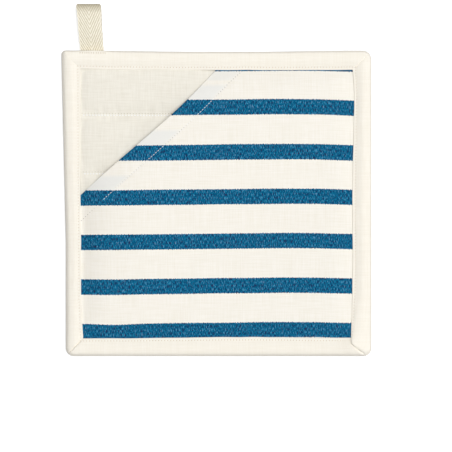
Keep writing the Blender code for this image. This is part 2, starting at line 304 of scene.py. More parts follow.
# The colour with a few dark flecks, bits of seed hull that unbleached cotton keeps
def fleckNodes(tree, place, colour):
    cells = {"Vector": place, "Scale": 1 / fleckValues["spacing"]}
    near = addNode(tree, "TexVoronoi", cells)["Distance"]
    edge = fleckValues["radius"] / fleckValues["spacing"]
    amount = addNode(tree, "MapRange", {0: near, 1: edge, 2: edge / 2})[0]
    shades = {0: amount, 6: colour, 7: linear(fleckValues["hull"])}
    return addNode(tree, "Mix", shades, data_type="RGBA")[2]


# Painted shade of the needle holes in the colour, and thick yarns on top of the weave's relief
def finishWoven(tree, shader, colour, holeShadeMask, holeShadeColour, slubs, slubHeight, height, depth, blend="MIX"):
    shades = {0: holeShadeMask, 6: colour, 7: linear(holeShadeColour)}
    pierced = addNode(tree, "Mix", shades, data_type="RGBA", blend_type=blend)[2]
    slubbed = {0: slubs, 1: slubHeight, 2: height}
    raised = addNode(tree, "Math", slubbed, operation="MULTIPLY_ADD")[0]
    finishFabric(tree, shader, pierced, raised, depth)


# Gives the shader its colour, and its bump, this many mm deep
def finishFabric(tree, shader, colour, height, depth):
    bump = addNode(tree, "Bump", {"Strength": 1.0, "Distance": depth * mm, "Height": height})[0]
    tree.links.new(colour, shader.inputs["Base Color"])
    tree.links.new(bump, shader.inputs["Normal"])


# 1 at each needle hole of a row that runs along the first coordinate, at zero of the second: where painted
# shade goes
def holeShadeNodes(tree, along, across, pitch, radius):
    turned = addNode(tree, "Math", {0: along, 1: math.pi / pitch}, operation="MULTIPLY")[0]
    wave = addNode(tree, "Math", {0: turned}, operation="SINE")[0]
    near = addNode(tree, "Math", {0: wave, 1: pitch / math.pi}, operation="MULTIPLY")[0]
    both = addNode(tree, "CombineXYZ", {0: near, 1: across})[0]
    far = addNode(tree, "VectorMath", {0: both}, operation="LENGTH")["Value"]
    ends = {0: far, 1: 0.0, 2: radius, 3: 1.0, 4: 0.0}
    return addNode(tree, "MapRange", ends, interpolation_type="SMOOTHSTEP")[0]


panelValues = {
    "cell": 2,  # mm
    "simPressure": 4.0,
    "simGrowth": 0.02,  # how much more cloth there is than room, which makes the puckers
    "simScale": 10,  # cloth this small is simulated at this many times its size
    "simFrames": 20,
    "simCap": 0.6,  # mm a point may move
    "pucker": 0.16,
    "seamWidth": 1.3,
    "tuckDepth": 1.4,  # of the pucker, at the deepest tucks
    "tuckAside": 3,  # mm from the row to the middle of its tucks
    "tuckWidth": 2.6,
    "tuckPitch": 5.3,
    "uneven": 0.1,
    "underPocket": 8.1,  # mm up to which the pocket lets the front puff
    "roomOutside": 2.0,  # mm more outside the pocket
    "pressedFrom": 10,  # mm past the mouth where it has its full effect
    "pressedOver": 0.12,  # mm over which a puff is pressed flat
    "stitchPitch": 2.0,
    "stitchLift": -0.4,  # mm from the fold line of a row up to its stitches
    "holeLift": 0.9,  # the same for the needle holes, which the pull of the thread opens upwards
    "canvas": "#F5F1E6",
    "canvasDark": "#EBE6D9",
    # the painted shade in its needle holes
    "holeShade": "#9A8C70",
    "holeRadius": 0.38,
    "yarn": 0.5,  # mm between yarns of a canvas
}


# Blows the cloth up between its held seams and rows, and gives how far each point moved, in mm
def simulated(points, faceCorners, held):
    grown = panelValues["simScale"] * mm
    mesh = bpy.data.meshes.new("clothSimulation")
    mesh.from_pydata((points * grown).tolist(), [], faceCorners)
    cloth = bpy.data.objects.new("clothSimulation", mesh)
    bpy.context.scene.collection.objects.link(cloth)
    group = cloth.vertex_groups.new(name="held")
    group.add([int(at) for at in np.flatnonzero(held)], 1.0, "REPLACE")
    modifier = cloth.modifiers.new("cloth", "CLOTH")
    settings = modifier.settings  # those of a light, limp cotton
    settings.quality = 6
    settings.mass = 0.1
    settings.tension_stiffness = settings.compression_stiffness = 15
    settings.shear_stiffness = 5
    settings.bending_stiffness = 0.05
    settings.use_pressure = True
    settings.uniform_pressure_force = panelValues["simPressure"]
    settings.shrink_min = -panelValues["simGrowth"]
    settings.vertex_group_mass = "held"
    settings.effector_weights.gravity = 0
    modifier.collision_settings.use_collision = False
    modifier.point_cache.frame_end = panelValues["simFrames"]
    for step in range(1, panelValues["simFrames"] + 1):
        bpy.context.scene.frame_set(step)
    shaped = cloth.evaluated_get(bpy.context.evaluated_depsgraph_get())
    settled = np.zeros(len(points) * 3)
    shaped.to_mesh().vertices.foreach_get("co", settled)
    moves = settled.reshape(-1, 3) / grown - points
    bpy.data.objects.remove(cloth)
    bpy.context.scene.frame_set(1)
    cap = panelValues["simCap"]
    print("cloth simulation moved points by", np.round(np.abs(moves).max(axis=0), 3).tolist())
    return np.clip(moves, -cap, cap)


# Heights pressed softly flat at this limit, which lies above the cloth or else beneath it
def pressed(heights, limit, above):
    soft = panelValues["pressedOver"] * (1 if above else -1)
    return limit - soft * np.logaddexp(0, (limit - heights) / soft)


def panelLines():
    edge = padValues["rawEdge"]
    return np.arange(-edge, edge + 1, panelValues["cell"], dtype=float)


def panelPiece(name, heightOf, upwards, material):
    x, y = np.meshgrid(panelLines(), panelLines())
    z = heightOf(x, y)
    rows, columns = x.shape
    side = 1 if upwards else -1
    points = np.stack([x, y, z], axis=-1)
    places = np.stack([x, y, np.zeros_like(x)], axis=-1)
    if not upwards:
        points, places = points[::-1], places[::-1]
    flat = points.reshape(-1, 3)
    index = np.arange(rows * columns).reshape(rows, columns)
    corners = np.stack([index[:-1, :-1], index[:-1, 1:], index[1:, 1:], index[1:, :-1]], axis=-1)
    onRow = np.isin(np.round(flat[:, 1]), padValues["quiltRows"])
    outside = (np.abs(flat[:, 0]) > padValues["seamX"]) | (np.abs(flat[:, 1]) > padValues["seamY"])
    moves = simulated(flat, corners.reshape(-1, 4).tolist(), onRow | outside)
    points = points + moves.reshape(points.shape)
    piece = addPiece(name, gridMesh([(points, places)]), material)
    smooth = piece.modifiers.new("smooth", "SUBSURF")
    smooth.levels = smooth.render_levels = 1
    bake(piece)
    points, places = readPoints(piece.data), readPlaces(piece.data)
    fromRow = np.min([np.abs(places[:, 1] - row) for row in padValues["quiltRows"]], axis=0)
    full = swell(places[:, 0], places[:, 1], padValues["swellReach"])
    # the thread draws the cloth in along its row, and in small tucks beside it
    turns = places[:, 0] * 2 * math.pi / panelValues["tuckPitch"]
    wave = 0.5 + 0.5 * np.sin(turns + 2 * ripple(*places[:, :2].T, 19, 4))
    aside = bell(fromRow - panelValues["tuckAside"], panelValues["tuckWidth"])
    tuck = bell(fromRow, panelValues["seamWidth"]) + panelValues["tuckDepth"] * wave * aside
    points[:, 2] -= side * panelValues["pucker"] * full * tuck
    points[:, 2] += side * panelValues["uneven"] * full * ripple(places[:, 0], places[:, 1], 17, 9)
    if upwards:
        free = 1 - share(pastMouth(places[:, 0], places[:, 1]), panelValues["pressedFrom"])
        limit = panelValues["underPocket"] + free * panelValues["roomOutside"]
        points[:, 2] = pressed(points[:, 2], limit, True)
    else:
        points[:, 2] = pressed(points[:, 2], 0, False)
    points[:, 0], points[:, 1] = pulled(points[:, 0], points[:, 1])
    piece.data.vertices.foreach_set("co", (points * mm).ravel())
    piece.data.update()
    thicken(piece, padValues["cloth"])
    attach(piece, "root")
    return piece


# Unbleached cotton canvas, woven plain from uneven yarn: matt, with slubs and a faint nap that
# keeps its shadows soft
def canvasMaterial():
    material, tree, shader, place = fabricMaterial("cottonCanvasPlainWoven", 0.9, 0.12, 0.5)
    height = weaveNodes(tree, place, panelValues["yarn"], 0.5)
    slubs, cloth = slubNodes(tree, place, 0.9, 14.0, panelValues["canvasDark"], panelValues["canvas"])
    cloth = fleckNodes(tree, place, cloth)
    parts = addNode(tree, "SeparateXYZ", {0: place})
    spacing = padValues["quiltRows"][0] - padValues["quiltRows"][1]
    first = padValues["quiltRows"][-1] + panelValues["holeLift"]
    lifted = addNode(tree, "Math", {0: parts[1], 1: first}, operation="SUBTRACT")[0]
    wrap = {0: lifted, 1: spacing / 2, 2: -spacing / 2}
    fromRow = addNode(tree, "Math", wrap, operation="WRAP")[0]
    # painted shade at the needle holes of each quilting row
    holeShadeMask = holeShadeNodes(tree, parts[0], fromRow, panelValues["stitchPitch"], panelValues["holeRadius"])
    finishWoven(tree, shader, cloth, holeShadeMask, panelValues["holeShade"], slubs, 0.5, height, 0.12)
    return material


canvas = canvasMaterial()
frontPanel = panelPiece("frontPanel", frontTop, True, canvas)
standIn("front_panel", "front panel made")
backPanel = panelPiece("backPanel", backBottom, False, canvas)
standIn("back_panel", "back panel made")


waddingValues = {
    "cell": 3,  # mm
    "room": 0.75,
    "lumps": 0.12,
    "fibreLength": 3.0,
    "cotton": "#EDEAE2",
    "shade": "#DEDACF",
}


# Carded cotton wadding: loose fibres in all directions, soft and quite without gloss
def waddingMaterial():
    material, tree, shader, place = fabricMaterial("cottonWaddingCarded", 0.97, 0.3, 0.6)
    size = 1 / waddingValues["fibreLength"]
    fibres = {"Vector": place, "Scale": size, "Detail": 8.0, "Distortion": 2.5}
    height = addNode(tree, "TexNoise", fibres)["Fac"]
    # the low parts of the fibres get painted shade
    tones = {0: height, 6: linear(waddingValues["shade"]), 7: linear(waddingValues["cotton"])}
    colour = addNode(tree, "Mix", tones, data_type="RGBA")[2]
    finishFabric(tree, shader, colour, height, 0.6)
    return material


def waddingPiece():
    edge = padValues["rawEdge"]
    lines = np.linspace(-edge, edge, int(2 * edge / waddingValues["cell"]))
    x, y = np.meshgrid(lines, lines)
    lumps = waddingValues["lumps"] * ripple(x, y, 14, 21)
    top = frontTop(x, y) - padValues["cloth"] - waddingValues["room"] + lumps
    bottom = backBottom(x, y) + padValues["cloth"] + waddingValues["room"] + lumps
    middle = (top + bottom) / 2
    top, bottom = np.maximum(top, middle + 0.1), np.minimum(bottom, middle - 0.1)
    places = np.stack([x, y, np.zeros_like(x)], axis=-1)
    upper = np.stack([*pulled(x, y), top], axis=-1)
    lower = np.stack([*pulled(x, y), bottom], axis=-1)
    patches = [(upper, places), (lower[::-1], places[::-1])]
    for side in (np.s_[0, :], np.s_[-1, :], np.s_[:, 0], np.s_[:, -1]):
        flipped = side in (np.s_[-1, :], np.s_[:, 0])
        pair = (upper[side], lower[side]) if flipped else (lower[side], upper[side])
        patches.append((np.stack(pair), np.stack([places[side]] * 2)))
    made = gridMesh(patches)
    sewTogether(made)
    piece = addPiece("waddingLayer", made, waddingMaterial())
    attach(piece, "root")
    return piece


waddingLayer = waddingPiece()
standIn("wadding", "wadding made")


pocketValues = {
    "columns": 185,
    "rows": 185,
    "edge": (101.7, 101.2),  # mm from the middle to the raw edges, across and up
    "hemWidth": 14,
    "hemRow": 12.4,  # mm from the mouth to the hem's stitching
    "hemThickness": 1.1,
    "hemShift": 9.8,  # mm that the stripes of the turned-under hem lie above those of the front
    "hemTopBand": 85,  # y in mm above which the turned-under cloth is blue again
    "onPad": 8.85,
    "gape": 4.9,
    "gapeSideReach": 45,
    "gapeDepth": 125,
    "sag": 2.3,
    "sagReach": 40,
    # how deep the cloth sinks or stands up at each of these, in mm
    "relief": {
        "quilting": 0.22, "fold": 0.1, "hemSeam": 0.22, "hemPuff": 0.12, "waves": 0.16, "crease": 0.25,
    },
    # how far each of these bends the stripes, in mm
    "stripeBends": {
        "crown": 0.5, "leftEnd": 0.8, "rightEnd": 0.35, "topEdge": 0.4, "lowCorner": 0.8,
        "middle": 0.28, "byTheMouth": 0.3, "uneven": 0.16,
    },
    "stripeTop": 71.1,
    "stripeWidth": 10.5,
    "stripePitch": 30.5,
    "stripeJag": 0.28,  # mm that a stripe's edge steps from yarn to yarn
    "stitchPitch": 2.05,
    "white": "#FAF6EE",
    "whiteDark": "#F2EDE1",
    "blue": "#025A81",
    "dusk": "#3A2A48",
    "navy": "#00305A",
    "teal": "#1A86AE",
    "faded": "#8A90AE",
    "showThrough": "#EDECE7",
    # painted shade in the needle holes of the hem
    "holeShade": "#8E8A84",
    "holeRadius": 0.42,
    "yarn": 0.42,
}


def pocketTop(x, y):
    depth = share(pastMouth(x, y), pocketValues["gapeDepth"])
    fade = 0.5 + 0.5 * np.cos(math.pi * depth)
    gape = pocketValues["gape"] * fade * swell(x, y, pocketValues["gapeSideReach"])
    onPad = (pocketValues["onPad"] - padValues["pocketAtSeam"]) * swell(x, y, padValues["swellReach"])
    return padValues["pocketAtSeam"] + onPad + gape


# The cloth sinks a little over the quilting, is drawn in at the hem's stitching and waves slightly
def pocketRelief(x, y):
    full = swell(x, y, 10)
    inside = pastMouth(x, y)
    relief = pocketValues["relief"]
    low = share(inside - 20, 60)
    sunk = relief["quilting"] * groove(y) * low + relief["fold"] * bell(y - 25, 4) * bell(x, 60)
    seam = relief["hemSeam"] * bell(inside - pocketValues["hemRow"], 1.1)
    hem = seam - relief["hemPuff"] * bell(inside - 6.5, 4.5)
    waves = relief["waves"] * ripple(x, y, 34, 5) * share(inside, 10)
    crease = relief["crease"] * bell(y + 17, 1.6) * bell(x - 84, 9)
    return full * (waves - sunk - hem - crease)


def sagged(x, y):
    along = share(alongMouth(x, y), mouthLength)
    bow = np.sin(math.pi * along ** 1.6)
    near = 1 - share(pastMouth(x, y), pocketValues["sagReach"])
    move = pocketValues["sag"] * bow * near
    return x + mouthInward[0] * move, y + mouthInward[1] * move


# How far the woven stripes have shifted from straight lines, in mm up
def stripeShift(x, y):
    bends = pocketValues["stripeBends"]
    shift = bends["crown"] * bell(x - 50, 38) - bends["leftEnd"] * share(-x, 90)
    shift = shift - bends["rightEnd"] * share(x - 70, 20) - bends["topEdge"] * share(y - 84, 6)
    shift = shift - bends["lowCorner"] * bell(x + 70, 15) * bell(y + 81, 20)
    shift = shift - bends["middle"] * bell(y - 22, 26)
    shift = shift - bends["byTheMouth"] * bell(y - 42, 14) * share(10 - x, 50)
    return shift + bends["uneven"] * ripple(x, y, 30, 12)


# Places for the stripes, straight across the cloth although its mouth sags, and for the hem's row
def pocketPlaces(x, y, shift):
    lowX, lowY = sagged(x, y)
    return np.stack([lowX, lowY - shift - stripeShift(lowX, lowY), pastMouth(x, y)], axis=-1)


def pocketPiece():
    edge, top = pocketValues["edge"]
    bottom = -top
    cornerX = mouthStart[0] + (top - mouthStart[1]) * mouthAlong[0] / mouthAlong[1]
    leftColumns = int(pocketValues["columns"] * (cornerX + edge) / (2 * edge))
    columns = np.concatenate([
        np.linspace(-edge, cornerX, leftColumns),
        np.linspace(cornerX, edge, pocketValues["columns"] - leftColumns)[1:],
    ])
    slope = mouthAlong[1] / mouthAlong[0]
    upTo = np.minimum(mouthStart[1] + (columns - mouthStart[0]) * slope, top)
    part = np.linspace(0, 1, pocketValues["rows"])[:, None]
    x = np.broadcast_to(columns, (len(part), len(columns)))
    y = bottom + (upTo - bottom) * part
    z = pocketTop(x, y) + pocketRelief(x, y)
    patches = [(x, y, z, pocketPlaces(x, y, 0))]
    footX, footY = columns[:leftColumns], upTo[:leftColumns]
    radius = pocketValues["hemThickness"] / 2
    footZ = pocketTop(footX, footY) + pocketRelief(footX, footY)
    foldX, foldY, foldZ, foldPlaces = [], [], [], []
    for angle in np.linspace(0, math.pi, 7):
        foldX.append(footX - mouthInward[0] * radius * math.sin(angle))
        foldY.append(footY - mouthInward[1] * radius * math.sin(angle))
        foldZ.append(footZ - radius * (1 - math.cos(angle)))
        foldPlaces.append(pocketPlaces(footX, footY, 0))
    for inset in np.linspace(0, pocketValues["hemWidth"], 13)[1:]:
        x, y = footX + mouthInward[0] * inset, footY + mouthInward[1] * inset
        foldX.append(x)
        foldY.append(y)
        foldZ.append(pocketTop(x, y) + pocketRelief(x, y) - pocketValues["hemThickness"])
        foldPlaces.append(pocketPlaces(x, y, pocketValues["hemShift"]))
    patches.append((np.array(foldX), np.array(foldY), np.array(foldZ), np.array(foldPlaces)))
    grids = []
    for x, y, z, places in patches:
        points = np.stack([*pulled(*sagged(x, y)), z], axis=-1)
        grids.append((points, places))
    made = gridMesh(grids)
    sewTogether(made)
    piece = addPiece("pocketPanel", made, stripedMaterial())
    thicken(piece, padValues["cloth"])
    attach(piece, "root")
    return piece


# White cotton, plain woven with bands of blue yarn. The dyed yarn is uneven, so the blue is flecked,
# and the turned-under cloth of the hem shows faintly through the white. The hem's needle holes get painted
# shade
def stripedMaterial():
    material, tree, shader, place = fabricMaterial("cottonYarnDyedStriped", 0.88, 0.005, 0.5)
    shader.inputs["Specular IOR Level"].default_value = 0.03  # fine yarn hides most of its gloss
    height = weaveNodes(tree, place, pocketValues["yarn"], 0.4)
    slubs, white = slubNodes(tree, place, 0.8, 18.0, pocketValues["whiteDark"], pocketValues["white"])
    white = fleckNodes(tree, place, white)
    parts = addNode(tree, "SeparateXYZ", {0: place})
    jagged = {"W": parts[0], "Scale": 1.1, "Detail": 2.0}
    teeth = addNode(tree, "TexNoise", jagged, noise_dimensions="1D")["Fac"]
    jag = pocketValues["stripeJag"]
    edgeMove = addNode(tree, "MapRange", {0: teeth, 1: 0.3, 2: 0.7, 3: -jag, 4: jag})[0]
    moved = addNode(tree, "Math", {0: parts[1], 1: edgeMove}, operation="ADD")[0]
    stripes = []
    for lift, soft in ((0, 0.02), (pocketValues["hemShift"], 1.2)):
        centre = pocketValues["stripeTop"] - pocketValues["stripeWidth"] / 2 + lift
        down = addNode(tree, "Math", {0: centre, 1: moved}, operation="SUBTRACT")[0]
        pitch = pocketValues["stripePitch"]
        wrap = {0: down, 1: pitch / 2, 2: -pitch / 2}
        wrapped = addNode(tree, "Math", wrap, operation="WRAP")[0]
        off = addNode(tree, "Math", {0: wrapped}, operation="ABSOLUTE")[0]
        edge = pocketValues["stripeWidth"] / 2
        stripes.append(addNode(tree, "MapRange", {0: off, 1: edge + soft, 2: edge - soft})[0])
    hemEnds = {0: parts[2], 1: pocketValues["hemRow"] + 0.9, 2: pocketValues["hemRow"] - 1.6}
    inHem = addNode(tree, "MapRange", hemEnds)[0]
    topBand = {0: moved, 1: pocketValues["hemTopBand"] - 1.2, 2: pocketValues["hemTopBand"], 4: 0.7}
    nearTop = addNode(tree, "MapRange", topBand)[0]
    below = addNode(tree, "Math", {0: stripes[1], 1: nearTop}, operation="MAXIMUM")[0]
    shown = addNode(tree, "Math", {0: inHem, 1: below}, operation="MULTIPLY")[0]
    bands = {0: shown, 6: white, 7: linear(pocketValues["showThrough"])}
    banded = addNode(tree, "Mix", bands, data_type="RGBA")[2]
    # the flecks are as coarse as two yarns side by side, so that they show
    drawn = addNode(tree, "VectorMath", {0: place, 1: (2.2, 0.4, 0)}, operation="MULTIPLY")[0]
    uneven = {"Vector": drawn, "Scale": 1.0, "Detail": 4.0, "Roughness": 0.7}
    flecks = addNode(tree, "TexNoise", uneven)["Fac"]
    blues = addNode(tree, "ValToRGB", {0: flecks})
    ramp = tree.nodes[-1].color_ramp
    ramp.elements[0].position, ramp.elements[0].color = 0.37, linear(pocketValues["dusk"])
    ramp.elements[1].position, ramp.elements[1].color = 0.69, linear(pocketValues["faded"])
    for position, dye in ((0.43, "navy"), (0.5, "blue"), (0.575, "teal")):
        ramp.elements.new(position).color = linear(pocketValues[dye])
    bands = {0: stripes[0], 6: banded, 7: blues[0]}
    striped = addNode(tree, "Mix", bands, data_type="RGBA")[2]
    way = (*mouthAlong, 0)
    along = addNode(tree, "VectorMath", {0: place, 1: way}, operation="DOT_PRODUCT")["Value"]
    across = addNode(tree, "Math", {0: parts[2], 1: pocketValues["hemRow"]}, operation="SUBTRACT")[0]
    # no painted shade of a needle hole shows on the dark yarn
    holeShade = holeShadeNodes(tree, along, across, pocketValues["stitchPitch"], pocketValues["holeRadius"])
    holeShade = addNode(tree, "Mix", {0: stripes[0], 2: holeShade, 3: 0.0}, data_type="FLOAT")[0]
    # the painted shade of the holes is stronger in some patches than in others
    patches = addNode(tree, "TexNoise", {"Vector": place, "Scale": 0.06, "Detail": 1.0})["Fac"]
    patchyHoleShade = addNode(tree, "MapRange", {0: patches, 1: 0.42, 2: 0.6, 3: 0.15, 4: 1.0})[0]
    holeShade = addNode(tree, "Math", {0: holeShade, 1: patchyHoleShade}, operation="MULTIPLY")[0]
    finishWoven(tree, shader, striped, holeShade, pocketValues["holeShade"], slubs, 0.7, height, 0.1, "MULTIPLY")
    return material


pocketPanel = pocketPiece()
standIn("pocket_panel", "pocket made")


loopValues = {
    "width": 16,
    "ply": 0.5,
    "tail": 11.5,  # mm of each end behind the binding
    "fromSide": 19.8,
    "tilt": 4.0,  # degrees
    "reach": 32.4,
    "thickness": 6.8,
    "foldLength": 5.5,
    "wornCorner": 1.3,
    "cell": 0.5,
    # the upper layer comes from behind the binding and rises: its height at distances out, in mm
    "riseOuts": (-1, 0, 1, 3, 6, 10, 14, 18),
    "riseHeights": (1.3, 1.8, 2.3, 3.2, 4.5, 5.9, 6.6, 6.8),
    "ecru": "#F7F2E4",
    "ecruDark": "#EFE9D7",
    "gapShade": "#CCC3A9",
    "foldShade": "#A79C80",
    "ribPitch": 1.4,
    "ribSlope": (0.9, 0.44),  # how fast a rib's pattern turns across the tape and along it
    "selvedge": (7.0, 7.4),  # mm from its middle where the ribs end and the selvedge is reached
    "edgeWave": 0.22,
    "faceWave": 0.25,
    "curl": 0.3,  # mm that the edges of its two layers bend towards each other
    "spread": 0.05,  # share by which it widens at its fold
    "spreadReach": 8,
    "foldShadeReach": 8.5,  # mm of tape on each side of the fold that painted shade darkens
}

bindingValues = {
    "bottom": 1.6,
    "top": 8.0,
    "lip": 0.72,
    "lipTop": 7.5,
    "ply": 0.32,
    "turnUnder": 7.8,
    "foldDepths": (1.9, 3.7, 3.0, 1.6),  # mm, on the top, left, bottom and right sides
    "stitchInset": 10.6,  # mm from the pad's edge to the topstitching
    "stitchPitch": 2.05,
    "valley": 0.22,
    "valleyWidth": 0.8,
    "puff": 0.7,
    "puffInset": 5.6,
    "puffWidth": 4,
    # how far the inner edge of the top, left, bottom and right side stands out from its straight
    # line, in mm, at these places along it, from the left or from the top
    "lipPlaces": (-90, -75, -50, -10, 10, 40, 70, 90),
    "lipMoves": (
        (-0.3, -0.6, -0.6, -0.4, -0.4, -0.4, -0.4, -0.3),
        (0, 0.1, 0.6, 1.4, 1.6, 1.8, 1.5, 0.2),
        (0, 0, -0.1, -0.7, -0.85, -0.8, -0.2, -0.4),
        (-0.7, 0.4, -0.1, -0.9, -0.9, -0.7, -1.2, -1.8),
    ),
    "lipWave": 0.2,  # mm that the inner edge wanders besides
    "lipFrom": 5,  # mm from the pad's edge where the strip starts to follow its inner edge
    "lipOver": 7,
    "lipFade": 8,
    # where the strip's flat part has its rows of points, closest at the stitching, in mm
    "faceInsets": (
        11.7, 11.4, 11.1, 10.85, 10.6, 10.35, 10.1, 9.8, 9.4, 8.9, 8.3, 7.6, 6.8, 6, 5.2, 4.4, 3.7,
    ),
    "stationsPerSide": 112,
    "arcSteps": 16,
    # how deep the crease of each corner's mitre is, and how far one side laps over the other,
    # anticlockwise from the top right
    "creases": (0.35, 0.04, 0.7, 0.45),
    "creaseWidth": 0.4,
    "laps": (0.2, 0.02, 0.5, 1.0),
    "lapWidth": 7,
    "lapShift": 4.1,
    "lapFade": 16,
    "lapReach": 45,
    "arcSlide": 2.26,  # how much later the bottom right mitre comes round the corner's arc
    "loopPress": 0.85,  # share of the fold's depth that the tape presses flat
    "loopPressReach": 11,
    "uneven": 0.12,
    "unevenFine": 0.05,
    "cream": "#F9F4E9",
    "creamDark": "#F4EEE1",
    # painted shade in the needle holes of its topstitching
    "holeShade": "#CDB294",
    "holeRadius": 0.45,
    "yarn": 0.45,
}


foldStart = 3.2  # mm from the pad's edge


# The strip's outer face across its width, as (distance in from the pad's edge, height). The fold at
# the pad's edge starts at foldStart here, and each side then squeezes or widens its own
def bindingProfile():
    top, lipTop, radius = bindingValues["top"], bindingValues["lipTop"], bindingValues["lip"] / 2
    lipEnd = padValues["bindingWidth"] - radius
    middle = (bindingValues["bottom"] + top) / 2
    start = padValues["bindingWidth"] - bindingValues["turnUnder"]
    upper = [(inset, lipTop - 2 * radius) for inset in (start, 8.3)]
    for angle in np.linspace(-math.pi / 2, math.pi / 2, 8):
        upper.append((lipEnd + radius * math.cos(angle), lipTop + radius * (math.sin(angle) - 1)))
    for inset in bindingValues["faceInsets"]:
        upper.append((inset, lipTop + (top - lipTop) * share(lipEnd - inset, 5.2) ** 1.5))
    for angle in np.linspace(math.pi / 2, 0, 10)[:-1]:
        inset = foldStart * (1 - math.cos(angle))
        upper.append((inset, middle + (top - middle) * math.sin(angle)))
    lower = [(inset, 2 * middle - height) for inset, height in reversed(upper)]
    return np.array(upper + [(0, middle)] + lower)


# How much a point at this inset moves with the strip's inner edge: 1 at it, 0 well away from it
def nearLip(inset):
    inward = share(inset - bindingValues["lipFrom"], bindingValues["lipOver"])
    return inward * (1 - share(inset - padValues["bindingWidth"], bindingValues["lipFade"]))


# A point of the strip moved with its side's uneven inner edge. Both sides move a corner's points, so
# the mitres stay closed
def lipMoved(x, y, face):
    places, moves = bindingValues["lipPlaces"], bindingValues["lipMoves"]
    insetX, insetY = padValues["width"] / 2 - np.abs(x), padValues["height"] / 2 - np.abs(y)
    top, left, bottom, right = (
        np.interp(place, places, side) for place, side in zip((x, -y, x, -y), moves)
    )
    wave = bindingValues["lipWave"]
    sideways = np.where(x < 0, left, right) + wave * ripple(y + 400 * np.sign(x), face * 9, 24, 33)
    upright = np.where(y < 0, bottom, top) + wave * ripple(x + 800 * np.sign(y), face * 9, 24, 34)
    return x + np.sign(x) * sideways * nearLip(insetX), y + np.sign(y) * upright * nearLip(insetY)


# The bottom right mitre runs left of its corner, because the right side is lapped over the bottom
def mitreMoved(x, y, inset):
    insetX, insetY = padValues["width"] / 2 - x, padValues["height"] / 2 + y
    shift = bindingValues["lapShift"] * share(padValues["bindingWidth"] - inset, 4)
    shift = shift * share(inset - 0.3, 1.4)
    onBottom = 1 - share(insetX - insetY, bindingValues["lapFade"])
    onRight = share(insetX, np.maximum(insetY, 0.1))
    nearCorner = share(bindingValues["lapReach"] - np.maximum(insetX, insetY), 10)
    return x - shift * nearCorner * np.where(insetX > insetY, onBottom, onRight)


# World place of a point at this distance along a side and this inset
def bindingPlan(quarter, along, inset, face):
    across = (padValues["height"], padValues["width"])[quarter % 2] / 2 - inset
    return worldPlan(quarter, along, across, inset, face)


def worldPlan(quarter, along, across, inset, face):
    turned = quarter * math.pi / 2
    x = along * math.cos(turned) - across * math.sin(turned)
    y = along * math.sin(turned) + across * math.cos(turned)
    return pulled(*lipMoved(mitreMoved(x, y, inset), y, face))


# The insets once the fold at the pad's edge is this deep
def folded(insets, depth):
    inFold = insets * depth / foldStart
    beyond = insets + (depth - foldStart) * share(7 - insets, 3.8)
    return np.where(insets < foldStart, inFold, beyond)


